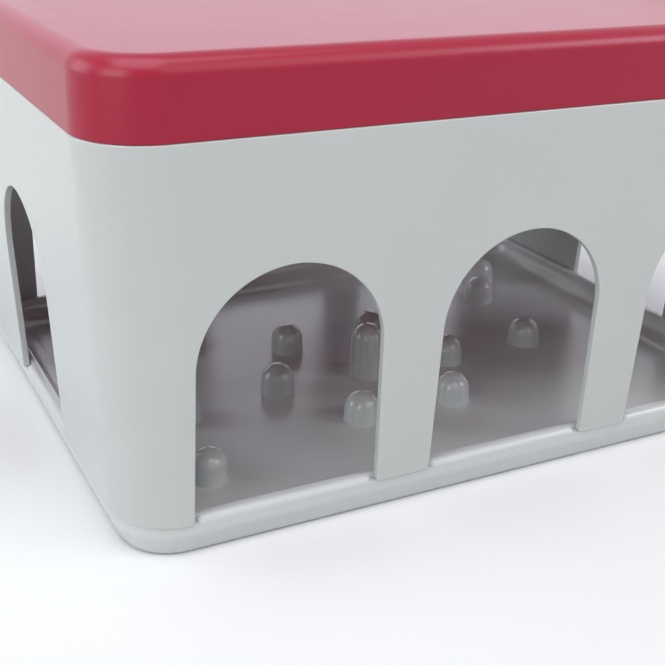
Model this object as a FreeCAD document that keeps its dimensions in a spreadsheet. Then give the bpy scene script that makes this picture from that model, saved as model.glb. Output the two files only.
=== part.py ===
"""Cat activity box: a studded tray, an arcaded hood that lifts off it and a lift-off lid.

The origin is at the middle of the base, on the surface that the feet stand on.
X runs along the long front wall, Y towards the back wall and Z up, in millimetres.
"""
import FreeCAD, Part
import Sketcher
import math
import os

Constraint = Sketcher.Constraint
Vector = FreeCAD.Vector
NEAR = 0.05

doc = FreeCAD.newDocument("cat_activity_box")

# Driving sizes. Rises are measured from the tray's bottom edge, outs from its bottom outline.
SIZES = {
    "tray_length": 237.0,
    "tray_depth": 177.0,
    "tray_corner": 15.0,
    "edge_lift": 0.8,
    "flare_rise": 6.5,
    "flare_out": 3.0,
    "ledge_rise": 10.2,
    "rim_rise": 12.0,
    "rim_inset": 1.2,
    "cove_radius": 8.2,
    "floor_rise": 3.0,
    "floor_skin": 1.8,
    "skirt_skin": 1.9,
    "groove_rise": 6.8,
    "groove_width": 1.5,
    "groove_inset": 5.0,
    "sill_gap": 1.0,
    "sill_corner": 1.4,
    "peg_radius": 6.1,
    "peg_short": 10.5,
    "peg_tall": 20.0,
    "peg_bevel": 2.2,
    "peg_core": 6.2,
    "peg_skin": 2.4,
    "foot_radius": 6.0,
    "foot_spread_x": 98.0,
    "foot_spread_y": 68.0,
    "overhang": 0.8,
    "seat_slack": 0.3,
    "wall_skin": 2.3,
    "wall_slope": 2.29,
    "hood_corner": 19.0,
    "hood_rise": 106.8,
    "arch_spring": 45.3,
    "arch_flare": 1.0,
    "arch_margin": 1.5,
    "pillar_width": 19.5,
    "pillar_toe": 1.0,
    "neck_rise": 8.0,
    "neck_skin": 2.0,
    "lid_slack": 0.3,
    "lid_rise": 20.0,
    "lid_skin": 2.2,
    "lid_draft": 1.5,
    "lid_round": 5.0,
    "panel_border": 13.0,
    "panel_drop": 2.5,
}
FRONT_ARCHES = 3

# Sizes that follow from the driving ones
HOOD_OUT = "(dim.flare_out + dim.overhang)"
RIM_OUT = "(dim.flare_out + dim.overhang - dim.wall_skin - dim.seat_slack)"
LEDGE_TOP = "(dim.edge_lift + dim.ledge_rise)"
RIM_TOP = "(dim.edge_lift + dim.rim_rise)"
FLOOR_TOP = "(dim.edge_lift + dim.floor_rise)"
FLOOR_UNDER = "(dim.edge_lift + dim.floor_rise - dim.floor_skin)"
LID_LINE = "(dim.edge_lift + dim.ledge_rise + dim.hood_rise)"
WALL_LEAN = "(dim.hood_rise * tan(dim.wall_slope))"
TOP_OUT = f"({HOOD_OUT} + {WALL_LEAN})"
NECK_INSET = "(dim.lid_skin + dim.lid_slack)"
WALL_RUN = "(dim.tray_length - 2 * (dim.tray_corner + dim.arch_margin))"
ARCH_WIDTH = f"(({WALL_RUN} - {FRONT_ARCHES - 1} * dim.pillar_width) / {FRONT_ARCHES})"
ARCH_PITCH = f"({ARCH_WIDTH} + dim.pillar_width)"
FLARE = "tan(dim.arch_flare)"
ARCH_FOOT = f"({ARCH_WIDTH} / 2 / cos(dim.arch_flare) + dim.arch_spring * {FLARE})"

# Peg centres, from the middle of the floor
SHORT_PEGS = [
    (-86.0, -58.7), (-24.7, -43.4), (11.5, -43.1), (-80.0, -19.0), (-41.8, -11.6),
    (27.1, -14.1), (64.8, -11.5), (-23.8, 19.5), (11.7, 18.8), (74.3, 34.4),
    (87.7, 54.0), (-66.0, 28.0), (-84.0, 55.0), (38.0, 47.0), (80.0, -46.0),
]
TALL_PEGS = [(-6.0, -12.0), (-47.0, 60.0)]


def write_sheet():
    """Put the driving sizes in a sheet, one named cell each."""
    made = doc.addObject("Spreadsheet::Sheet", "dim")
    for row, (name, value) in enumerate(SIZES.items(), start=1):
        made.set(f"A{row}", name)
        made.set(f"B{row}", str(value))
        made.setAlias(f"B{row}", name)
    doc.recompute()
    return made


dim = write_sheet()


def size(formula):
    """The number that a formula of the sheet's names stands for."""
    return float(dim.evalExpression(formula))


def new_body(name):
    """A body whose label names its file."""
    body = doc.addObject("PartDesign::Body", name)
    body.Label = name
    return body


def new_sketch(body, name, role, rise="0"):
    """A sketch parallel to one of the body's own origin planes."""
    sketch = body.newObject("Sketcher::SketchObject", name)
    plane = next(item for item in body.Origin.OriginFeatures if item.Role == role)
    sketch.AttachmentSupport = [(plane, "")]
    sketch.MapMode = "FlatFace"
    sketch.setExpression("AttachmentOffset.Base.z", rise)
    return sketch


def bind(sketch, kind, *where, formula):
    """Add one constraint whose value is a formula."""
    index = sketch.addConstraint(Constraint(kind, *where, size(formula)))
    sketch.setExpression(f"Constraints[{index}]", formula)


def line(x1, y1, x2, y2):
    """A straight piece of a sketch."""
    return Part.LineSegment(Vector(x1, y1), Vector(x2, y2))


def arc(x, y, radius, start, end):
    """A round piece of a sketch, its angles in degrees."""
    circle = Part.Circle(Vector(x, y), Vector(0, 0, 1), radius)
    return Part.ArcOfCircle(circle, math.radians(start), math.radians(end))


def rounded_rectangle(sketch, length, depth, corner):
    """Draw a centred rectangle with round corners, sized by three formulas."""
    x = size(length) / 2
    y = size(depth) / 2
    r = size(corner)
    sides = [
        line(-x + r, -y, x - r, -y), line(x, -y + r, x, y - r),
        line(x - r, y, -x + r, y), line(-x, y - r, -x, -y + r),
    ]
    corners = [
        arc(x - r, -y + r, r, -90, 0), arc(x - r, y - r, r, 0, 90),
        arc(-x + r, y - r, r, 90, 180), arc(-x + r, -y + r, r, 180, 270),
    ]
    side = sketch.addGeometry(sides + corners, False)[0]
    bend = side + 4
    for turn in range(4):
        sketch.addConstraint(Constraint("Tangent", side + turn, 2, bend + turn, 1))
        sketch.addConstraint(Constraint("Tangent", bend + turn, 2, side + (turn + 1) % 4, 1))
        sketch.addConstraint(Constraint("Vertical" if turn % 2 else "Horizontal", side + turn))
    for turn in range(3):
        sketch.addConstraint(Constraint("Equal", bend + turn, bend + turn + 1))
    sketch.addConstraint(Constraint("Symmetric", bend, 3, bend + 2, 3, -1, 1))
    bind(sketch, "DistanceX", side + 3, 1, side + 1, 1, formula=length)
    bind(sketch, "DistanceY", side, 1, side + 2, 1, formula=depth)
    bind(sketch, "Radius", bend, formula=corner)


def outline(sketch, out):
    """Draw the tray's bottom outline, moved outwards all round by a formula."""
    rounded_rectangle(
        sketch,
        f"dim.tray_length + 2 * {out}",
        f"dim.tray_depth + 2 * {out}",
        f"dim.tray_corner + {out}",
    )


def top_outline(sketch, inset):
    """Draw the hood's outline at the lid line, moved inwards all round by a formula."""
    rounded_rectangle(
        sketch,
        f"dim.tray_length + 2 * ({TOP_OUT} - {inset})",
        f"dim.tray_depth + 2 * ({TOP_OUT} - {inset})",
        f"dim.hood_corner - {inset}",
    )


def pad(body, name, sketch, height, slope=None):
    """Grow a sketch by a height; a positive slope widens it on the way."""
    feature = body.newObject("PartDesign::Pad", name)
    feature.Profile = sketch
    feature.setExpression("Length", height)
    if slope:
        feature.setExpression("TaperAngle", slope)
    doc.recompute()
    return feature


def pocket(body, name, sketch, height, slope=None, up=True):
    """Cut a sketch away over a height; a positive slope widens the cut on the way."""
    before = body.Shape.Volume
    feature = body.newObject("PartDesign::Pocket", name)
    feature.Profile = sketch
    feature.Reversed = up
    feature.setExpression("Length", height)
    if slope:
        feature.setExpression("TaperAngle", slope)
    doc.recompute()
    must_shrink(name, before, feature)
    return feature


def pocket_through(body, name, sketch):
    """Cut a sketch away through the whole body, both ways."""
    before = body.Shape.Volume
    feature = body.newObject("PartDesign::Pocket", name)
    feature.Profile = sketch
    feature.Type = "ThroughAll"
    feature.SideType = "Symmetric"
    doc.recompute()
    must_shrink(name, before, feature)
    return feature


def must_shrink(name, before, feature):
    """Stop if a cut took nothing away."""
    if feature.Shape.Volume >= before - 1.0:
        raise RuntimeError(f"{name} cuts nothing")


def must_build(feature):
    """Stop at a feature that did not build."""
    if "Invalid" in feature.State or "Error" in feature.State:
        raise RuntimeError(f"{feature.Name} failed: {feature.getStatusString()}")


def dress_edges(body, name, kind, setting, formula, picked):
    """Work the edges of the body's last feature that a test picks."""
    base = body.Tip
    edges = [f"Edge{i}" for i, edge in enumerate(base.Shape.Edges, start=1) if picked(edge)]
    if not edges:
        raise RuntimeError(f"{name} finds no edges")
    feature = body.newObject(kind, name)
    feature.Base = (base, edges)
    feature.setExpression(setting, formula)
    doc.recompute()
    must_build(feature)


def fillet(body, name, radius, picked):
    """Round the picked edges."""
    dress_edges(body, name, "PartDesign::Fillet", "Radius", radius, picked)


def lean_out(body, name, slope, foot_rise, picked):
    """Tilt the picked faces outwards about their foot."""
    base = body.Tip
    faces = base.Shape.Faces
    tilted = [f"Face{i}" for i, face in enumerate(faces, start=1) if picked(face)]
    foot = next(f"Face{i}" for i, face in enumerate(faces, start=1) if at_rise(face, foot_rise))
    feature = body.newObject("PartDesign::Draft", name)
    feature.Base = (base, tilted)
    feature.NeutralPlane = (base, [foot])
    feature.setExpression("Angle", slope)
    feature.Reversed = True
    doc.recompute()
    must_build(feature)


def chamfer(body, name, width, picked):
    """Bevel the picked edges."""
    dress_edges(body, name, "PartDesign::Chamfer", "Size", width, picked)


def middle_of(edge):
    """The point half way along an edge."""
    return edge.valueAt((edge.FirstParameter + edge.LastParameter) / 2)


def at_rise(shape, rise):
    """Whether an edge or a face lies level at a height."""
    box = shape.BoundBox
    return abs(box.ZMin - rise) < NEAR and abs(box.ZMax - rise) < NEAR


def is_upright(edge, low, high):
    """Whether an edge is a plumb line between two heights."""
    box = edge.BoundBox
    plumb = box.XLength < NEAR and box.YLength < NEAR
    return plumb and abs(box.ZMin - low) < NEAR and abs(box.ZMax - high) < NEAR


def out_of_tray(edge):
    """How far an edge's middle lies outside the tray's bottom outline."""
    corner = size("dim.tray_corner")
    point = middle_of(edge)
    x = abs(point.x) - size("dim.tray_length / 2") + corner
    y = abs(point.y) - size("dim.tray_depth / 2") + corner
    return math.hypot(max(x, 0.0), max(y, 0.0)) + min(max(x, y), 0.0) - corner


def circles(sketch, centres, radius):
    """Draw equal circles at chosen centres, their radius given by a formula."""
    for x, y in centres:
        made = sketch.addGeometry(Part.Circle(Vector(x, y), Vector(0, 0, 1), size(radius)), False)
        sketch.addConstraint(Constraint("DistanceX", -1, 1, made, 3, x))
        sketch.addConstraint(Constraint("DistanceY", -1, 1, made, 3, y))
        bind(sketch, "Radius", made, formula=radius)


def rim_section(body):
    """Section of the tray's rim, from the flared skirt over the rim to the coved floor."""
    # The points run round the section: how far out and how high above the tray's edge
    corners = [
        ("0", "0"),
        ("dim.flare_out", "dim.flare_rise"),
        ("dim.flare_out", "dim.ledge_rise"),
        (RIM_OUT, "dim.ledge_rise"),
        (RIM_OUT, "dim.rim_rise"),
        ("-dim.rim_inset", "dim.rim_rise"),
        ("-dim.rim_inset", "(dim.floor_rise + dim.cove_radius)"),
        ("-(dim.rim_inset + dim.cove_radius)", "dim.floor_rise"),
        ("-(dim.rim_inset + dim.cove_radius)", "(dim.floor_rise - dim.floor_skin)"),
        ("-dim.groove_inset", "(dim.floor_rise - dim.floor_skin)"),
        ("(dim.flare_out - dim.skirt_skin - dim.groove_width)", "dim.groove_rise"),
        ("(dim.flare_out - dim.skirt_skin)", "dim.groove_rise"),
        ("(dim.flare_out - dim.skirt_skin)", "dim.flare_rise"),
        ("-dim.skirt_skin", "0"),
    ]
    cove = 6
    sketch = new_sketch(body, "rim_section", "YZ_Plane")
    points = [(size(f"-dim.tray_depth / 2 - {u}"), size(f"dim.edge_lift + {w}")) for u, w in corners]
    for index, (x, y) in enumerate(points):
        x2, y2 = points[(index + 1) % len(points)]
        if index == cove:
            sketch.addGeometry(arc(x2, y, size("dim.cove_radius"), 180, 270), False)
        else:
            sketch.addGeometry(line(x, y, x2, y2), False)
    for index, (u, w) in enumerate(corners):
        following = (index + 1) % len(corners)
        sketch.addConstraint(Constraint("Coincident", index, 2, following, 1))
        bind(sketch, "DistanceX", -1, 1, index, 1, formula=f"-dim.tray_depth / 2 - {u}")
        bind(sketch, "DistanceY", -1, 1, index, 1, formula=f"dim.edge_lift + {w}")
    bind(sketch, "Radius", cove, formula="dim.cove_radius")
    return sketch


def rim_path(body):
    """The tray's bottom outline, starting at the middle of its front."""
    sketch = new_sketch(body, "rim_path", "XY_Plane", "dim.edge_lift")
    x = size("dim.tray_length / 2")
    y = size("dim.tray_depth / 2")
    r = size("dim.tray_corner")
    pieces = [
        line(0, -y, x - r, -y), arc(x - r, -y + r, r, -90, 0), line(x, -y + r, x, y - r),
        arc(x - r, y - r, r, 0, 90), line(x - r, y, -x + r, y), arc(-x + r, y - r, r, 90, 180),
        line(-x, y - r, -x, -y + r), arc(-x + r, -y + r, r, 180, 270), line(-x + r, -y, 0, -y),
    ]
    sketch.addGeometry(pieces, False)
    for index in range(len(pieces) - 1):
        sketch.addConstraint(Constraint("Tangent", index, 2, index + 1, 1))
    sketch.addConstraint(Constraint("Coincident", 8, 2, 0, 1))
    for index, kind in ((0, "Horizontal"), (2, "Vertical"), (4, "Horizontal"), (6, "Vertical")):
        sketch.addConstraint(Constraint(kind, index))
    sketch.addConstraint(Constraint("Horizontal", 8))
    for index in (1, 3, 5):
        sketch.addConstraint(Constraint("Equal", index, index + 2))
    sketch.addConstraint(Constraint("PointOnObject", 0, 1, -2))
    bind(sketch, "DistanceY", 0, 1, -1, 1, formula="dim.tray_depth / 2")
    bind(sketch, "DistanceX", -1, 1, 2, 1, formula="dim.tray_length / 2")
    bind(sketch, "DistanceX", 6, 1, -1, 1, formula="dim.tray_length / 2")
    bind(sketch, "DistanceY", -1, 1, 4, 1, formula="dim.tray_depth / 2")
    bind(sketch, "Radius", 1, formula="dim.tray_corner")
    return sketch


def rectangle(sketch, x, y, length, depth):
    """Draw a rectangle, its middle and sides given by formulas."""
    x1, x2 = size(f"{x} - {length} / 2"), size(f"{x} + {length} / 2")
    y1, y2 = size(f"{y} - {depth} / 2"), size(f"{y} + {depth} / 2")
    sides = [line(x1, y1, x2, y1), line(x2, y1, x2, y2), line(x2, y2, x1, y2), line(x1, y2, x1, y1)]
    first = sketch.addGeometry(sides, False)[0]
    for turn in range(4):
        sketch.addConstraint(Constraint("Coincident", first + turn, 2, first + (turn + 1) % 4, 1))
        sketch.addConstraint(Constraint("Vertical" if turn % 2 else "Horizontal", first + turn))
    bind(sketch, "DistanceX", -1, 1, first, 1, formula=f"{x} - {length} / 2")
    bind(sketch, "DistanceX", -1, 1, first, 2, formula=f"{x} + {length} / 2")
    bind(sketch, "DistanceY", -1, 1, first, 1, formula=f"{y} - {depth} / 2")
    bind(sketch, "DistanceY", -1, 1, first + 2, 1, formula=f"{y} + {depth} / 2")


def arch_places():
    """Middles of the arches along a long wall, as formulas."""
    first = (1 - FRONT_ARCHES) / 2
    return [f"({first + index} * {ARCH_PITCH})" for index in range(FRONT_ARCHES)]


def add_sills(body):
    """Raise a sill on the ledge in each arch, flush with the rim's top and the tray's face."""
    plan = new_sketch(body, "sill_plan", "XY_Plane", LEDGE_TOP)
    run = f"(2 * ({ARCH_FOOT} - dim.sill_gap))"
    root = f"(dim.flare_out - {RIM_OUT})"
    for side in ("-1", "1"):
        across = f"{side} * (dim.tray_depth / 2 + dim.flare_out - {root} / 2)"
        for place in arch_places():
            rectangle(plan, place, across, run, root)
        along = f"{side} * (dim.tray_length / 2 + dim.flare_out - {root} / 2)"
        rectangle(plan, along, "0", root, run)
    pad(body, "sills", plan, "dim.rim_rise - dim.ledge_rise")
    low = size(LEDGE_TOP)
    high = size(RIM_TOP)
    face = size("dim.flare_out")
    chamfer(body, "sill_corners", "dim.sill_corner", lambda edge: (
        is_upright(edge, low, high) and abs(out_of_tray(edge) - face) < NEAR))


def add_pegs(body, name, centres, height):
    """Stand pegs with bevelled tops on the floor, cored from below."""
    plan = new_sketch(body, f"{name}_plan", "XY_Plane", FLOOR_TOP)
    circles(plan, centres, "dim.peg_radius")
    pad(body, name, plan, height)
    top = size(f"{FLOOR_TOP} + {height}")
    chamfer(body, f"{name}_tops", "dim.peg_bevel", lambda edge: at_rise(edge, top))

    cores = new_sketch(body, f"{name}_core_plan", "XY_Plane", FLOOR_UNDER)
    for x, y in centres:
        rectangle(cores, str(x), str(y), "dim.peg_core", "dim.peg_core")
    pocket(body, f"{name}_cores", cores, f"dim.floor_skin + {height} - dim.peg_skin")


def foot_circles(sketch, radius):
    """Draw a circle at each foot's place, its radius given by a formula."""
    for side_x in (-1, 1):
        for side_y in (-1, 1):
            x = f"{side_x} * dim.foot_spread_x"
            y = f"{side_y} * dim.foot_spread_y"
            circle = Part.Circle(Vector(size(x), size(y)), Vector(0, 0, 1), size(radius))
            made = sketch.addGeometry(circle, False)
            bind(sketch, "DistanceX", -1, 1, made, 3, formula=x)
            bind(sketch, "DistanceY", -1, 1, made, 3, formula=y)
            bind(sketch, "Radius", made, formula=radius)


def make_tray():
    """The studded tray that the hood stands on."""
    body = new_body("base_tray")
    rim = body.newObject("PartDesign::AdditivePipe", "rim")
    rim.Profile = rim_section(body)
    rim.Spine = (rim_path(body), [f"Edge{i}" for i in range(1, 10)])
    doc.recompute()

    floor = new_sketch(body, "floor_plan", "XY_Plane", FLOOR_UNDER)
    outline(floor, "-(dim.rim_inset + dim.cove_radius + dim.groove_inset) / 2")
    pad(body, "floor", floor, "dim.floor_skin")

    add_sills(body)
    add_pegs(body, "short_pegs", SHORT_PEGS, "dim.peg_short")
    add_pegs(body, "tall_pegs", TALL_PEGS, "dim.peg_tall")
    return body


def make_feet():
    """Four rubber feet, stuck under the tray's floor."""
    body = new_body("rubber_feet")
    body.AllowCompound = True
    plan = new_sketch(body, "feet_plan", "XY_Plane")
    foot_circles(plan, "dim.foot_radius")
    pad(body, "feet", plan, FLOOR_UNDER)
    return body


def arch_outline(sketch, middle):
    """Draw one arch: a half round on jambs that spread a little towards the foot."""
    x = size(middle)
    r = size(f"{ARCH_WIDTH} / 2")
    spring = size(f"{LEDGE_TOP} + dim.arch_spring")
    sill = size("dim.edge_lift")
    lean = size("dim.arch_flare")
    half = f"({ARCH_FOOT} + dim.ledge_rise * {FLARE})"
    side = r * math.cos(math.radians(lean))
    top = spring + r * math.sin(math.radians(lean))
    toe = size(half)
    pieces = [
        arc(x, spring, r, lean, 180 - lean), line(x - side, top, x - toe, sill),
        line(x - toe, sill, x + toe, sill), line(x + toe, sill, x + side, top),
    ]
    crown = sketch.addGeometry(pieces, False)[0]
    sketch.addConstraint(Constraint("Tangent", crown, 2, crown + 1, 1))
    sketch.addConstraint(Constraint("Coincident", crown + 1, 2, crown + 2, 1))
    sketch.addConstraint(Constraint("Coincident", crown + 2, 2, crown + 3, 1))
    sketch.addConstraint(Constraint("Tangent", crown + 3, 2, crown, 1))
    sketch.addConstraint(Constraint("Horizontal", crown + 2))
    bind(sketch, "Radius", crown, formula=f"{ARCH_WIDTH} / 2")
    bind(sketch, "DistanceX", -1, 1, crown, 3, formula=middle)
    bind(sketch, "DistanceY", -1, 1, crown, 3, formula=f"{LEDGE_TOP} + dim.arch_spring")
    bind(sketch, "DistanceY", -1, 1, crown + 2, 1, formula="dim.edge_lift")
    bind(sketch, "DistanceX", -1, 1, crown + 2, 1, formula=f"{middle} - {half}")
    bind(sketch, "DistanceX", -1, 1, crown + 2, 2, formula=f"{middle} + {half}")


def leaning_block(body, inset, rise):
    """A block as wide as the walls at the hood's foot, less an inset, that widens as it climbs."""
    foot = new_sketch(body, f"{body.Name}_foot_plan", "XY_Plane", LEDGE_TOP)
    length = f"(dim.tray_length + 2 * ({HOOD_OUT} - {inset}))"
    depth = f"(dim.tray_depth + 2 * ({HOOD_OUT} - {inset}))"
    rectangle(foot, "0", "0", length, depth)
    pad(body, f"{body.Name}_block", foot, rise)
    low = size(LEDGE_TOP)
    climb = size(rise)
    lean_out(body, f"{body.Name}_lean", "dim.wall_slope", low, lambda face: (
        abs(face.BoundBox.ZLength - climb) < NEAR))
    fillet(body, f"{body.Name}_corners", f"dim.hood_corner - {inset}", lambda edge: (
        abs(edge.BoundBox.ZLength - climb) < NEAR))


def make_hood():
    """The arcaded hood: four leaning walls, open at the foot and at the neck under the lid."""
    body = new_body("hood")
    leaning_block(body, "0", "dim.hood_rise")
    neck = new_sketch(body, "neck_plan", "XY_Plane", LID_LINE)
    top_outline(neck, NECK_INSET)
    pad(body, "neck", neck, "dim.neck_rise")

    core = new_body("room_core")
    leaning_block(core, "dim.wall_skin", "dim.hood_rise - dim.wall_skin")
    room = body.newObject("PartDesign::Boolean", "room")
    room.Type = "Cut"
    room.setObjects([core])
    doc.recompute()
    must_build(room)

    mouth = new_sketch(body, "mouth_plan", "XY_Plane", f"{LID_LINE} + dim.neck_rise")
    top_outline(mouth, f"({NECK_INSET} + dim.neck_skin)")
    pocket(body, "mouth", mouth, "dim.neck_rise + 2 * dim.wall_skin", up=False)

    fronts = new_sketch(body, "front_arch_plan", "XZ_Plane")
    for place in arch_places():
        arch_outline(fronts, place)
    pocket_through(body, "front_arches", fronts)
    sides = new_sketch(body, "side_arch_plan", "YZ_Plane")
    arch_outline(sides, "0")
    pocket_through(body, "side_arches", sides)

    foot_rise = size(LEDGE_TOP)
    thick = size("dim.wall_skin")
    chamfer(body, "pillar_toes", "dim.pillar_toe", lambda edge: (
        at_rise(edge, foot_rise) and abs(edge.Length - thick) < 2 * NEAR))
    return body


def make_lid():
    """The lid: a cap whose skirt hangs over the hood's neck, with a sunk panel on top."""
    body = new_body("lid")
    plan = new_sketch(body, "skirt_plan", "XY_Plane", LID_LINE)
    top_outline(plan, "0")
    pad(body, "cap", plan, "dim.lid_rise", slope="-dim.lid_draft")
    top = size(f"{LID_LINE} + dim.lid_rise")
    fillet(body, "cap_edge", "dim.lid_round", lambda edge: at_rise(edge, top))

    panel = new_sketch(body, "panel_plan", "XY_Plane", f"{LID_LINE} + dim.lid_rise")
    top_outline(panel, "dim.panel_border")
    pocket(body, "panel", panel, "dim.panel_drop", up=False)

    inside = new_sketch(body, "inside_plan", "XY_Plane", LID_LINE)
    top_outline(inside, "dim.lid_skin")
    depth = "(dim.lid_rise - dim.panel_drop - dim.lid_skin)"
    pocket(body, "inside", inside, depth, slope="-dim.lid_draft")
    border = new_sketch(body, "border_plan", "XY_Plane", f"{LID_LINE} + {depth}")
    top_outline(border, "(dim.lid_round + dim.lid_skin)")
    top_outline(border, "(dim.panel_border - dim.lid_skin)")
    pocket(body, "border", border, "dim.panel_drop")
    return body


bodies = [make_tray(), make_feet(), make_hood(), make_lid()]

# Every feature must have built, and every piece must be sound, before anything is written
for item in doc.Objects:
    if "Invalid" in item.State or "Error" in item.State:
        raise RuntimeError(f"{item.Name} failed: {item.getStatusString()}")
os.makedirs("parts", exist_ok=True)
for body in bodies:
    if body.Shape.isNull() or not body.Shape.isValid():
        raise RuntimeError(f"{body.Label} is not a sound solid")
for body in bodies:
    body.Shape.exportStep(f"parts/{body.Label}.step")
    box = body.Shape.optimalBoundingBox(False)
    print(f"{body.Label}: {len(body.Shape.Solids)} solid, {body.Shape.Volume / 1000:.1f} cm3,",
          f"{box.XLength:.2f} x {box.YLength:.2f} x {box.ZLength:.2f} from {box.ZMin:.2f}")
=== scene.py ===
"""Cat activity box: a studded tray, an arcaded hood that lifts off it and a lift-off lid."""
import bmesh
import bpy
import math
from mathutils import Matrix, Quaternion, Vector


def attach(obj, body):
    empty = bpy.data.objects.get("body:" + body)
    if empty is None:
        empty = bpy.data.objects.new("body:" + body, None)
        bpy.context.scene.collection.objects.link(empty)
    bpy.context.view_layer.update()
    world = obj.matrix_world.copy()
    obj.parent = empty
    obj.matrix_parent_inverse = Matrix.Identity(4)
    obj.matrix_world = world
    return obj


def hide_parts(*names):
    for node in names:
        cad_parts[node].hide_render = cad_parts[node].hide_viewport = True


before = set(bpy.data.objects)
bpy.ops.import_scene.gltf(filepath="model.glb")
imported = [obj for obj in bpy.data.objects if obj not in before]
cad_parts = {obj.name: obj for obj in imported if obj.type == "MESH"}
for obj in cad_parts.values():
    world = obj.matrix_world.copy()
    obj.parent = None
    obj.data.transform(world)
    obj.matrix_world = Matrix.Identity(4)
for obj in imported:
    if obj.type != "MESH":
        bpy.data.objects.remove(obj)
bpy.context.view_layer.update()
scene = bpy.context.scene

# The studio: a camera a little above the box at its front left corner, a plain pale floor that runs
# out into white, and soft light from one broad panel overhead and five others round the box.
EYE = (-0.189555, -0.337389, 0.179917)
EYE_YAW = 26.838
EYE_PITCH = 24.078
EYE_ROLL = 1.316
SENSOR_WIDTH = 36
LENS = 60.29
SHIFT_X = 0.01726
SHIFT_Y = 0.02528

eye = bpy.data.objects.new("eye", bpy.data.cameras.new("eye"))
scene.collection.objects.link(eye)
eye.data.sensor_width = SENSOR_WIDTH
eye.data.lens = LENS
eye.data.shift_x = SHIFT_X
eye.data.shift_y = SHIFT_Y
yaw = math.radians(EYE_YAW)
pitch = math.radians(EYE_PITCH)
ahead = Vector((math.sin(yaw) * math.cos(pitch), math.cos(yaw) * math.cos(pitch), -math.sin(pitch)))
level = ahead.to_track_quat("-Z", "Y")
eye.rotation_mode = "QUATERNION"
eye.rotation_quaternion = Quaternion(ahead, math.radians(-EYE_ROLL)) @ level
eye.location = EYE
scene.camera = eye
scene.view_settings.view_transform = "Standard"


def blank_finish(name):
    """An empty node material, and its two node lists."""
    material = bpy.data.materials.new(name)
    material.use_nodes = True
    nodes = material.node_tree.nodes
    nodes.clear()
    return material, nodes, material.node_tree.links


def worked_out(nodes, links, operation, first, second):
    """One number made from two others."""
    step = nodes.new("ShaderNodeMath")
    step.operation = operation
    links.new(first, step.inputs[0])
    links.new(second, step.inputs[1])
    return step.outputs[0]


def shown_white(nodes, links):
    """One where the camera, a mirror or clear plastic looks, and nought for the light itself."""
    path = nodes.new("ShaderNodeLightPath")
    seen = worked_out(nodes, links, "MAXIMUM", path.outputs["Is Camera Ray"],
                      path.outputs["Is Glossy Ray"])
    return worked_out(nodes, links, "MAXIMUM", seen, path.outputs["Is Transmission Ray"])


def between(nodes, links, value, low, high, start=0.0, end=1.0, course="LINEAR"):
    """A number that runs from low to high while another runs from start to end."""
    mapped = nodes.new("ShaderNodeMapRange")
    mapped.interpolation_type = course
    mapped.inputs["From Min"].default_value = start
    mapped.inputs["From Max"].default_value = end
    mapped.inputs["To Min"].default_value = low
    mapped.inputs["To Max"].default_value = high
    links.new(value, mapped.inputs["Value"])
    return mapped.outputs["Result"]


ROOM_LIGHT = 0.05
ROOM_SHOWN = 1.0
WHITE = (1, 1, 1, 1)
FLOOR_GREY = 0.72
FLOOR_SHOWN = 0.97
FLOOR_ROUGH = 0.9
FLOOR_SIDE = 3.0
SHADE_NEAR = 0.12
SHADE_FAR = 0.34

# The room shows as white and lights the box only faintly
world = bpy.data.worlds.new("room")
scene.world = world
world.use_nodes = True
nodes = world.node_tree.nodes
links = world.node_tree.links
background = nodes["Background"]
strength = between(nodes, links, shown_white(nodes, links), ROOM_LIGHT, ROOM_SHOWN)
links.new(strength, background.inputs["Strength"])
background.inputs["Color"].default_value = WHITE

floor_material, nodes, links = blank_finish("floor_board")
board = nodes.new("ShaderNodeBsdfPrincipled")
board.inputs["Roughness"].default_value = FLOOR_ROUGH
board.inputs["Specular IOR Level"].default_value = 0.0
tone = between(nodes, links, shown_white(nodes, links), FLOOR_GREY, FLOOR_SHOWN)
links.new(tone, board.inputs["Base Color"])

# Away from the box the floor runs out into plain white
ground = nodes.new("ShaderNodeTexCoord")
reach = nodes.new("ShaderNodeVectorMath")
reach.operation = "LENGTH"
links.new(ground.outputs["Object"], reach.inputs[0])
fade = between(nodes, links, reach.outputs["Value"], 0.0, 1.0, SHADE_NEAR, SHADE_FAR, "SMOOTHSTEP")
whiteness = worked_out(nodes, links, "MULTIPLY", fade, shown_white(nodes, links))
white = nodes.new("ShaderNodeEmission")
run_out = nodes.new("ShaderNodeMixShader")
links.new(whiteness, run_out.inputs[0])
links.new(board.outputs["BSDF"], run_out.inputs[1])
links.new(white.outputs["Emission"], run_out.inputs[2])
output = nodes.new("ShaderNodeOutputMaterial")
links.new(run_out.outputs["Shader"], output.inputs["Surface"])

floor_mesh = bpy.data.meshes.new("floor")
bm = bmesh.new()
bmesh.ops.create_grid(bm, x_segments=1, y_segments=1, size=FLOOR_SIDE)
bm.to_mesh(floor_mesh)
bm.free()
floor = bpy.data.objects.new("floor", floor_mesh)
floor_mesh.materials.append(floor_material)
scene.collection.objects.link(floor)

# Each panel of light: its name, place, side, power and colour
PANELS = (
    ("panel_above", (-0.25, -0.35, 1.3), 1.2, 12.6, (0.93, 0.935, 1.0)),
    ("panel_left", (-1.139, -0.658, 0.519), 0.8, 5.6, (0.96, 1.0, 0.97)),
    ("panel_side", (-1.192, 0.556, 0.519), 0.8, 4.9, (0.85, 0.92, 1.0)),
    ("panel_right", (0.479, -1.026, 0.863), 0.8, 2.3, (0.95, 1.0, 0.85)),
    ("panel_low", (0.947, -0.795, 0.697), 0.5, 3.9, (0.87, 0.85, 1.0)),
    ("panel_back", (0.35, 1.306, 0.402), 1.7, 3.4, (0.58, 0.64, 1.0)),
)
PANEL_AIM = (0, 0, 0.05)

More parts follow.
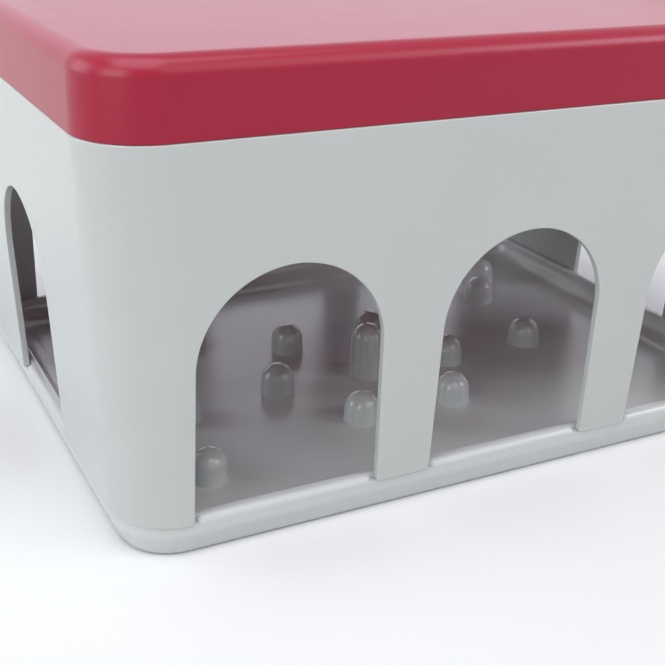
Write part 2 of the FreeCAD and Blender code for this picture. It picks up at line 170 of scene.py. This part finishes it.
for name, place, side, power, colour in PANELS:
    lamp = bpy.data.objects.new(name, bpy.data.lights.new(name, "AREA"))
    lamp.data.size = side
    lamp.data.energy = power
    lamp.data.color = colour
    lamp.location = place
    aim = Vector(PANEL_AIM) - Vector(place)
    lamp.rotation_euler = aim.to_track_quat("-Z", "Y").to_euler()
    scene.collection.objects.link(lamp)


# The rubber feet: four small round pads with eased edges, pressed from grey rubber and stuck to the
# underside of the tray's floor.
FOOT_RADIUS = 0.006
FOOT_HIGH = 0.002
FOOT_EASE = 0.0006
FOOT_PARTS = 40
FOOT_X = 0.098
FOOT_Y = 0.068
RUBBER_GREY = (0.19, 0.195, 0.2)
RUBBER_SHEEN = 0.35
SOFT_TURN = math.radians(35)
EVEN_WEIGHT = 80
CLOUD_SCALE = 22.0
PATCH_SCALE = 60.0
WAVE_SCALE = 14.0
GRAIN_SCALE = 1400.0
ROUGH_CHANGE = 0.025
NOISE_LOW = 0.3
NOISE_HIGH = 0.7


def grain(nodes, links, scale, detail):
    """Even noise through the whole piece, in its own coordinates."""
    place = nodes.new("ShaderNodeTexCoord")
    noise = nodes.new("ShaderNodeTexNoise")
    noise.inputs["Scale"].default_value = scale
    noise.inputs["Detail"].default_value = detail
    links.new(place.outputs["Object"], noise.inputs["Vector"])
    return noise.outputs["Fac"]


def spread(nodes, links, value, low, high):
    """Noise stretched to run between two values."""
    return between(nodes, links, value, low, high, NOISE_LOW, NOISE_HIGH)


def moulded(name, colour, rough, tint, grain_depth, wave_depth):
    """Moulded plastic or rubber: an even colour, a fine grain and the slow waves of a cooled wall."""
    material, nodes, links = blank_finish(name)
    shader = nodes.new("ShaderNodeBsdfPrincipled")
    output = nodes.new("ShaderNodeOutputMaterial")
    links.new(shader.outputs["BSDF"], output.inputs["Surface"])

    cloud = grain(nodes, links, CLOUD_SCALE, detail=3.0)
    blend = nodes.new("ShaderNodeMix")
    blend.data_type = "RGBA"
    blend.inputs["A"].default_value = (*[c * (1 - tint) for c in colour], 1)
    blend.inputs["B"].default_value = (*[min(c * (1 + tint), 1) for c in colour], 1)
    links.new(spread(nodes, links, cloud, 0.0, 1.0), blend.inputs["Factor"])
    links.new(blend.outputs["Result"], shader.inputs["Base Color"])

    patch = grain(nodes, links, PATCH_SCALE, detail=4.0)
    sheen = spread(nodes, links, patch, rough * (1 - ROUGH_CHANGE), rough * (1 + ROUGH_CHANGE))
    links.new(sheen, shader.inputs["Roughness"])

    wave = nodes.new("ShaderNodeBump")
    wave.inputs["Distance"].default_value = wave_depth
    links.new(grain(nodes, links, WAVE_SCALE, detail=1.0), wave.inputs["Height"])
    fine = nodes.new("ShaderNodeBump")
    fine.inputs["Distance"].default_value = grain_depth
    links.new(grain(nodes, links, GRAIN_SCALE, detail=2.0), fine.inputs["Height"])
    links.new(wave.outputs["Normal"], fine.inputs["Normal"])
    links.new(fine.outputs["Normal"], shader.inputs["Normal"])
    return material, shader


def ease(bm, edges, size, parts, clamp=False):
    """Round edges over, by a size and in so many narrow faces."""
    bmesh.ops.bevel(bm, geom=edges, offset=size, segments=parts, profile=0.5, affect="EDGES",
                    material=-1, clamp_overlap=clamp)


def keep_piece(bm, name, material, body, slot, *nodes):
    """Turn a finished bmesh into a piece that rides on its body and stands for its nodes."""
    mesh = bpy.data.meshes.new(name)
    bmesh.ops.recalc_face_normals(bm, faces=bm.faces)
    for face in bm.faces:
        face.smooth = True
    for edge in bm.edges:
        edge.smooth = edge.calc_face_angle(0) < SOFT_TURN
    bm.to_mesh(mesh)
    bm.free()
    mesh.materials.append(material)
    piece = bpy.data.objects.new(name, mesh)
    scene.collection.objects.link(piece)
    normals = piece.modifiers.new("even_shading", "WEIGHTED_NORMAL")
    normals.weight = EVEN_WEIGHT
    normals.keep_sharp = True
    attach(piece, body)
    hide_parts(*nodes)


bm = bmesh.new()
for side_x in (-1, 1):
    for side_y in (-1, 1):
        pad = bmesh.ops.create_cone(bm, cap_ends=True, segments=FOOT_PARTS, radius1=FOOT_RADIUS,
                                    radius2=FOOT_RADIUS, depth=FOOT_HIGH)["verts"]
        bmesh.ops.translate(bm, vec=(side_x * FOOT_X, side_y * FOOT_Y, FOOT_HIGH / 2), verts=pad)
lower_rims = [edge for edge in bm.edges if all(v.co.z < FOOT_EASE for v in edge.verts)]
ease(bm, lower_rims, FOOT_EASE, parts=4)
rubber, shader = moulded("grey_rubber", RUBBER_GREY, rough=0.75, tint=0.04, grain_depth=0.00004,
                         wave_depth=0.0)
shader.inputs["Specular IOR Level"].default_value = RUBBER_SHEEN
keep_piece(bm, "rubber_pads", rubber, "tray", "foot_rubber", "rubber_feet")


# The tray: one thin-walled moulding of light grey plastic, with an open groove and hollow pegs
# beneath. A flared skirt carries a ledge for the hood's pillars and a thin standing rim, sills
# close the ledge in each arch, and round-topped pegs rise from the coved floor.
TRAY_LENGTH = 0.237
TRAY_DEPTH = 0.177
TRAY_CORNER = 0.015
CORNER_PARTS = 14
FLOOR_TOP = 0.0038
FLOOR_UNDER = 0.002
FLOOR_UNDER_OUT = -0.005
COVE_FOOT = -0.0096
COVE_RADIUS = 0.0082
COVE_PARTS = 10
RIM_TOP = 0.0128
RIM_IN = -0.0012
RIM_OUT = 0.0012
RIM_EASE = 0.0009
LEDGE_TOP = 0.011
FACE_OUT = 0.003
BEND_RISE = 0.0073
BEND_EASE = 0.00095238095
SKIRT_FOOT = 0.0008
SKIRT_IN = -0.0019
GROOVE_OUT = 0.0011
GROOVE_IN = -0.0004
GROOVE_TOP = 0.0076
EDGE_EASE = 0.0004
SHARP_TURN = 0.6
TOUCH = 0.000001
NEAR = 0.00002
ARCH_PITCH = 0.0745
SILL_HALF = 0.0277
SILL_DEEP = 0.0027
SILL_FOOT = 0.0095
SILL_CORNER = 0.0023
SILL_EASE = 0.0020
MILLIMETRE = 0.001
PEG_RADIUS = 0.0061
PEG_SHORT = 0.0105
PEG_TALL = 0.020
PEG_LEAN = 0.0175
PEG_ROOT = 0.00025
PEG_SKIN = 0.0018
PEG_PARTS = 40
SHORT_PEGS = (
    (-86.0, -58.7), (-24.7, -43.4), (11.5, -43.1), (-80.0, -19.0), (-41.8, -11.6),
    (27.1, -14.1), (64.8, -11.5), (-23.8, 19.5), (11.7, 18.8), (74.3, 34.4),
    (87.7, 54.0), (-66.0, 28.0), (-84.0, 55.0), (38.0, 47.0), (80.0, -46.0),
)
TALL_PEGS = ((-6.0, -12.0), (-47.0, 60.0))
TRAY_GREY = (0.70, 0.722, 0.72)
GREY_IOR = 1.52
FLOOR_MATT = 0.25
POLISHED = 0.13


def box_outline(bm, out, corner, rise):
    """A level loop of edges round the box: a rectangle with round corners."""
    square = bmesh.ops.create_grid(bm, x_segments=1, y_segments=1, size=0.5)["verts"]
    bmesh.ops.scale(bm, vec=(TRAY_LENGTH + 2 * out, TRAY_DEPTH + 2 * out, 1), verts=square)
    bmesh.ops.translate(bm, vec=(0, 0, rise), verts=square)
    bmesh.ops.bevel(bm, geom=square, offset=corner, segments=CORNER_PARTS, profile=0.5,
                    affect="VERTICES", material=-1)
    bmesh.ops.delete(bm, geom=bm.faces[:], context="FACES_ONLY")
    return bm.edges[:]


def sweep_wall(bm, rows):
    """A wall round the box, through rings: how far outside the tray's bottom outline, corner, height."""
    edges = box_outline(bm, *rows[0])
    for (out, corner, _), (next_out, next_corner, next_rise) in zip(rows, rows[1:]):
        made = bmesh.ops.extrude_edge_only(bm, edges=edges)["geom"]
        moved = {g for g in made if isinstance(g, bmesh.types.BMVert)}
        # Each point keeps its place on its corner's arc while the ring grows and rises
        for v in moved:
            for axis, half in ((0, TRAY_LENGTH / 2), (1, TRAY_DEPTH / 2)):
                turn = (abs(v.co[axis]) - half - out + corner) / corner
                v.co[axis] = math.copysign(half + next_out + next_corner * (turn - 1), v.co[axis])
            v.co.z = next_rise
        edges = [g for g in made if isinstance(g, bmesh.types.BMEdge)
                 and all(v in moved for v in g.verts)]
    bmesh.ops.remove_doubles(bm, verts=bm.verts, dist=TOUCH)


def out_of_tray(point):
    """How far a point lies outside the tray's bottom outline."""
    x = abs(point.x) - TRAY_LENGTH / 2 + TRAY_CORNER
    y = abs(point.y) - TRAY_DEPTH / 2 + TRAY_CORNER
    return math.hypot(max(x, 0), max(y, 0)) + min(max(x, y), 0) - TRAY_CORNER


def tray_edges(bm, out, rise):
    """The edges that run round the tray at a height, a distance outside its bottom outline."""
    return [edge for edge in bm.edges
            if all(abs(v.co.z - rise) < NEAR and abs(out_of_tray(v.co) - out) < NEAR
                   for v in edge.verts)]


def sharp_edges(bm):
    """The edges at which two faces turn sharply."""
    return [edge for edge in bm.edges
            if len(edge.link_faces) == 2 and edge.calc_face_angle() > SHARP_TURN]


def open_edges(bm, rise):
    """The open edges at a height."""
    return [edge for edge in bm.edges
            if edge.is_boundary and all(abs(v.co.z - rise) < TOUCH for v in edge.verts)]


def closed_mesh(bm, name):
    """The mesh of a finished bmesh, its faces turned outwards."""
    mesh = bpy.data.meshes.new(name)
    bmesh.ops.recalc_face_normals(bm, faces=bm.faces)
    bm.to_mesh(mesh)
    bm.free()
    return mesh


def turned_peg(foot, radius, height, root, dome_parts):
    """A peg with a round top, turned about the upright axis, open at its foot."""
    bm = bmesh.new()
    crown = radius - height * PEG_LEAN
    top = bm.verts.new((0, 0, foot + height))
    dome = bmesh.ops.spin(bm, geom=[top], cent=(0, 0, foot + height - crown), axis=(0, 1, 0),
                          angle=math.pi / 2, steps=dome_parts)["geom_last"]
    shoulder = next(g for g in dome if isinstance(g, bmesh.types.BMVert))
    hip = bmesh.ops.extrude_vert_indiv(bm, verts=[shoulder])["verts"][0]
    hip.co = (radius, 0, foot + root)
    if root:
        bmesh.ops.spin(bm, geom=[hip], cent=(radius + root, 0, foot + root), axis=(0, -1, 0),
                       angle=math.pi / 2, steps=3)
    bmesh.ops.spin(bm, geom=[*bm.verts, *bm.edges], cent=(0, 0, 0), axis=(0, 0, 1),
                   angle=math.tau, steps=PEG_PARTS, use_merge=True)
    bmesh.ops.remove_doubles(bm, verts=bm.verts, dist=TOUCH)
    return closed_mesh(bm, "peg")


def set_out(bm, mesh, moves, turns=()):
    """Copies of a finished shape, each moved and then turned about the middle by quarters."""
    for index, move in enumerate(moves):
        standing = set(bm.verts)
        bm.from_mesh(mesh)
        added = [v for v in bm.verts if v not in standing]
        bmesh.ops.translate(bm, vec=move, verts=added)
        if turns:
            bmesh.ops.rotate(bm, verts=added, cent=(0, 0, 0),
                             matrix=Matrix.Rotation(turns[index] * math.pi / 2, 3, "Z"))


def as_object(bm, name):
    """A finished bmesh as an object that others are cut from or joined to."""
    shape = bpy.data.objects.new(name, closed_mesh(bm, name))
    scene.collection.objects.link(shape)
    return shape


def combined(piece, operation, others):
    """A bmesh of a piece with other shapes cut out of it or joined to it."""
    for other in others:
        step = piece.modifiers.new(other.name, "BOOLEAN")
        step.operation = operation
        step.solver = "EXACT"
        step.object = other
    bpy.context.view_layer.update()
    ready = piece.evaluated_get(bpy.context.evaluated_depsgraph_get())
    mesh = bpy.data.meshes.new_from_object(ready)
    for done in (piece, *others):
        bpy.data.objects.remove(done)
    bm = bmesh.new()
    bm.from_mesh(mesh)
    bmesh.ops.remove_doubles(bm, verts=bm.verts, dist=TOUCH)
    return bm


# The wall's section from the cove, over the rim, the ledge and the skirt, to the floor's underside
bm = bmesh.new()
section = (
    (COVE_FOOT, FLOOR_TOP), (RIM_IN, FLOOR_TOP), (RIM_IN, RIM_TOP), (RIM_OUT, RIM_TOP),
    (RIM_OUT, LEDGE_TOP), (FACE_OUT, LEDGE_TOP), (FACE_OUT, BEND_RISE), (0.0, SKIRT_FOOT),
    (SKIRT_IN, SKIRT_FOOT), (GROOVE_OUT, BEND_RISE), (GROOVE_OUT, GROOVE_TOP),
    (GROOVE_IN, GROOVE_TOP), (FLOOR_UNDER_OUT, FLOOR_UNDER),
)
sweep_wall(bm, [(out, TRAY_CORNER + out, rise) for out, rise in section])

# The cove, the flare's soft bend and the rim's round, then a light ease on what is sharp
ease(bm, tray_edges(bm, RIM_IN, FLOOR_TOP), COVE_RADIUS, COVE_PARTS)
ease(bm, tray_edges(bm, FACE_OUT, BEND_RISE), BEND_EASE, parts=4)
ease(bm, tray_edges(bm, RIM_IN, RIM_TOP), RIM_EASE, parts=4)
ease(bm, sharp_edges(bm), EDGE_EASE, parts=3, clamp=True)

# The pegs: each turned with a full round top and a small root, and hollow from below
for centres, height in ((SHORT_PEGS, PEG_SHORT), (TALL_PEGS, PEG_TALL)):
    core_height = height + FLOOR_TOP - FLOOR_UNDER - PEG_SKIN
    for peg in (turned_peg(FLOOR_TOP, PEG_RADIUS, height, PEG_ROOT, dome_parts=10),
                turned_peg(FLOOR_UNDER, PEG_RADIUS - PEG_SKIN, core_height, 0, dome_parts=6)):
        set_out(bm, peg, [(x * MILLIMETRE, y * MILLIMETRE, 0) for x, y in centres])

for rise in (FLOOR_TOP, FLOOR_UNDER):
    bmesh.ops.triangle_fill(bm, edges=open_edges(bm, rise), use_beauty=True)
tray = as_object(bm, "low_tray")

# The sills: low blocks with round corners, one in each arch, joined to the ledge and the rim
bm = bmesh.new()
block = bmesh.ops.create_cube(bm, size=1)["verts"]
bmesh.ops.scale(bm, vec=(2 * SILL_HALF, SILL_DEEP, RIM_TOP - SILL_FOOT), verts=block)
bmesh.ops.translate(bm, vec=(0, SILL_DEEP / 2, (RIM_TOP + SILL_FOOT) / 2), verts=block)
upright = [edge for edge in bm.edges if all(v.co.y < TOUCH for v in edge.verts)
           and abs(edge.verts[0].co.z - edge.verts[1].co.z) > TOUCH]
ease(bm, upright, SILL_CORNER, parts=6)
lip = [edge for edge in bm.edges if all(v.co.z > RIM_TOP - TOUCH for v in edge.verts)
       and any(v.co.y < SILL_DEEP - TOUCH for v in edge.verts)]
ease(bm, lip, SILL_EASE, parts=5)
block = closed_mesh(bm, "block")
bm = bmesh.new()
front = TRAY_DEPTH / 2 + FACE_OUT
flank = TRAY_LENGTH / 2 + FACE_OUT
set_out(bm, block, [(x, -front, 0) for x in (-ARCH_PITCH, 0, ARCH_PITCH)] * 2
        + [(0, -flank, 0)] * 2, turns=(0, 0, 0, 2, 2, 2, 1, 3))
bm = combined(tray, "UNION", [as_object(bm, "sills")])

# The mould is fine matt at the floor, and polished where the pegs and the rim stand out of it
tray_plastic, shader = moulded("tray_plastic", TRAY_GREY, rough=FLOOR_MATT, tint=0.015,
                               grain_depth=0.000012, wave_depth=0.00006)
shader.inputs["IOR"].default_value = GREY_IOR
nodes = tray_plastic.node_tree.nodes
links = tray_plastic.node_tree.links
matt = shader.inputs["Roughness"].links[0].from_socket
place = nodes.new("ShaderNodeTexCoord")
axes = nodes.new("ShaderNodeSeparateXYZ")
links.new(place.outputs["Object"], axes.inputs["Vector"])
polish = between(nodes, links, axes.outputs["Z"], 1.0, POLISHED / FLOOR_MATT,
                 FLOOR_TOP + PEG_ROOT, FLOOR_TOP + 2 * PEG_SKIN)
finish = worked_out(nodes, links, "MULTIPLY", matt, polish)
links.new(finish, shader.inputs["Roughness"])
keep_piece(bm, "studded_tray", tray_plastic, "tray", "tray_plastic", "base_tray")


# The hood: one tall moulding of the same light grey plastic that stands on the tray's ledge. Four
# walls lean outwards as they climb, arches open them down to the tray, and a narrower neck on top
# takes the lid.
HOOD_CORNER = 0.019
HOOD_SKIN = 0.0023
HOOD_FOOT = LEDGE_TOP
LID_LINE = 0.1178
NECK_TOP = 0.1258
MOUTH_FOOT = 0.1155
OUTER_FOOT_OUT = 0.0038
OUTER_TOP_OUT = 0.008071
INNER_FOOT_OUT = 0.0015
INNER_TOP_OUT = 0.005679
NECK_INSET = 0.0025
NECK_SKIN = 0.002
NECK_EASE = 0.0005
ARCH_RADIUS = 0.0275
ARCH_SPRING = 0.0563
ARCH_LEAN = 1.0
ARCH_PARTS = 56
ARCH_EASE = 0.0008
TOE_RADIUS = 0.001
TOE_PARTS = 4
HOOD_GREY = (0.632, 0.655, 0.642)


def arch_cutter(name, places, turned):
    """The shape of the arches in a long or a short wall, run right through the box."""
    bm = bmesh.new()
    lean = math.radians(ARCH_LEAN)
    for place in places:
        first = bm.verts.new((place + ARCH_RADIUS * math.cos(lean), 0,
                              ARCH_SPRING + ARCH_RADIUS * math.sin(lean)))
        swept = bmesh.ops.spin(bm, geom=[first], cent=(place, 0, ARCH_SPRING), axis=(0, -1, 0),
                               angle=math.pi - 2 * lean, steps=ARCH_PARTS)
        last = next(g for g in swept["geom_last"] if isinstance(g, bmesh.types.BMVert))
        # Each jamb leans outwards on its way down, and ends in a small round toe at the pillar's foot
        ends = []
        for top, side in ((first, 1), (last, -1)):
            drop = top.co.z - HOOD_FOOT - TOE_RADIUS
            made = bmesh.ops.extrude_vert_indiv(bm, verts=[top])["verts"][0]
            bmesh.ops.translate(bm, verts=[made], vec=(side * drop * math.tan(lean), 0, -drop))
            toe = bmesh.ops.spin(bm, geom=[made], axis=(0, -side, 0), angle=math.pi / 2,
                                 cent=(made.co.x + side * TOE_RADIUS, 0, made.co.z), steps=TOE_PARTS)
            tip = next(g for g in toe["geom_last"] if isinstance(g, bmesh.types.BMVert))
            below = bmesh.ops.extrude_vert_indiv(bm, verts=[tip])["verts"][0]
            bmesh.ops.translate(bm, verts=[below], vec=(0, 0, -TOE_RADIUS))
            ends.append(below)
        bm.edges.new(ends)
        loop = [edge for edge in bm.edges if not edge.link_faces]
        bmesh.ops.contextual_create(bm, geom=loop)
    # The closed outlines are drawn out through both walls
    flat = list(bm.faces)
    bmesh.ops.translate(bm, verts=bm.verts, vec=(0, -TRAY_LENGTH, 0))
    made = bmesh.ops.extrude_face_region(bm, geom=flat, use_keep_orig=True)["geom"]
    bmesh.ops.translate(bm, vec=(0, 2 * TRAY_LENGTH, 0),
                        verts=[g for g in made if isinstance(g, bmesh.types.BMVert)])
    if turned:
        bmesh.ops.rotate(bm, verts=bm.verts, cent=(0, 0, 0),
                         matrix=Matrix.Rotation(math.pi / 2, 3, "Z"))
    return as_object(bm, name)


# The shell's rings, from its foot up the outside, over the neck and back down the inside
bm = bmesh.new()
neck_corner = HOOD_CORNER - NECK_INSET
neck_out = OUTER_TOP_OUT - NECK_INSET
inner_corner = HOOD_CORNER - HOOD_SKIN
sweep_wall(bm, (
    (OUTER_FOOT_OUT, HOOD_CORNER, HOOD_FOOT), (OUTER_TOP_OUT, HOOD_CORNER, LID_LINE),
    (neck_out, neck_corner, LID_LINE), (neck_out, neck_corner, NECK_TOP),
    (neck_out - NECK_SKIN, neck_corner - NECK_SKIN, NECK_TOP),
    (neck_out - NECK_SKIN, neck_corner - NECK_SKIN, MOUTH_FOOT),
    (INNER_TOP_OUT, inner_corner, MOUTH_FOOT), (INNER_FOOT_OUT, inner_corner, HOOD_FOOT),
    (OUTER_FOOT_OUT, HOOD_CORNER, HOOD_FOOT),
))
bm = combined(as_object(bm, "hood_shell"), "DIFFERENCE",
              [arch_cutter("front_arches", (-ARCH_PITCH, 0, ARCH_PITCH), turned=False),
               arch_cutter("side_arches", (0,), turned=True)])

# A light ease on the neck's edges, and a rounder one along the arches and the pillars' feet
sharp = sharp_edges(bm)
arches = [edge for edge in sharp if all(v.co.z < MOUTH_FOOT - TOUCH for v in edge.verts)]
neck = [edge for edge in sharp if all(v.co.z > MOUTH_FOOT - TOUCH for v in edge.verts)]
ease(bm, neck, NECK_EASE, parts=3, clamp=True)
ease(bm, arches, ARCH_EASE, parts=4, clamp=True)
hood_plastic, shader = moulded("hood_plastic", HOOD_GREY, rough=0.14, tint=0.015,
                               grain_depth=0.000012, wave_depth=0.00005)
shader.inputs["IOR"].default_value = GREY_IOR
keep_piece(bm, "arcaded_hood", hood_plastic, "hood", "hood_plastic", "hood")


# The lid: a cap moulded in raspberry red plastic, with a broadly rounded top edge and a sunk panel.
# Its skirt hangs over the hood's neck and ends flush with the walls.
LID_TOP = 0.1378
LID_TOP_OUT = 0.007547
LID_ROUND = 0.005
LID_SKIN = 0.0022
PANEL_BORDER = 0.013
PANEL_RISE = 0.1353
PANEL_EASE = 0.001
PANEL_INSET = 0.002
LIP_EASE = 0.0005
OUTER_BAND = (0.005, 0.011)
INNER_BAND = (0.003, 0.009)
PANEL_BAND = (-0.01, -0.001)
LIP_BAND = (0.0, 0.01)
RASPBERRY = (0.39, 0.006, 0.037)
LID_IOR = 1.45

# The cap's rings, from the sunk panel over the border, down the skirt and back up inside
bm = bmesh.new()
border_out = OUTER_TOP_OUT - PANEL_BORDER
border_corner = HOOD_CORNER - PANEL_BORDER
under_panel = PANEL_RISE - LID_SKIN
under_border = LID_TOP - LID_SKIN
inner_corner = HOOD_CORNER - LID_SKIN
sweep_wall(bm, (
    (border_out, border_corner, PANEL_RISE), (border_out, border_corner, LID_TOP),
    (LID_TOP_OUT, HOOD_CORNER, LID_TOP), (OUTER_TOP_OUT, HOOD_CORNER, LID_LINE),
    (OUTER_TOP_OUT - LID_SKIN, inner_corner, LID_LINE),
    (LID_TOP_OUT - LID_SKIN, inner_corner, under_border),
    (border_out + LID_SKIN, border_corner + LID_SKIN, under_border),
    (border_out + LID_SKIN, border_corner + LID_SKIN, under_panel),
))
for rise in (PANEL_RISE, under_panel):
    bmesh.ops.contextual_create(bm, geom=open_edges(bm, rise))


def lid_edges(bm, rise, band):
    """The lid's level edges at a height, in a band of distances outside the tray's outline."""
    low, high = band
    return [edge for edge in bm.edges
            if all(abs(v.co.z - rise) < TOUCH and low < out_of_tray(v.co) < high for v in edge.verts)]


# The top edge's broad round outside and inside, then light eases on the panel and the lip
ease(bm, lid_edges(bm, LID_TOP, OUTER_BAND), LID_ROUND, parts=10)
ease(bm, lid_edges(bm, under_border, INNER_BAND), LID_ROUND - LID_SKIN, parts=6)
for rise in (LID_TOP, PANEL_RISE, under_border, under_panel):
    ease(bm, lid_edges(bm, rise, PANEL_BAND), PANEL_EASE, parts=4)
ease(bm, lid_edges(bm, LID_LINE, LIP_BAND), LIP_EASE, parts=3)

# The two large faces of the panel get a narrow level border, which keeps their middle quite flat
panels = [face for face in bm.faces if len(face.verts) > 4 * CORNER_PARTS]
bmesh.ops.inset_individual(bm, faces=panels, thickness=PANEL_INSET, use_even_offset=True)
lid_plastic, shader = moulded("raspberry_plastic", RASPBERRY, rough=0.29, tint=0.008,
                              grain_depth=0.000001, wave_depth=0.00001)
shader.inputs["IOR"].default_value = LID_IOR
keep_piece(bm, "raspberry_lid", lid_plastic, "lid", "lid_plastic", "lid")
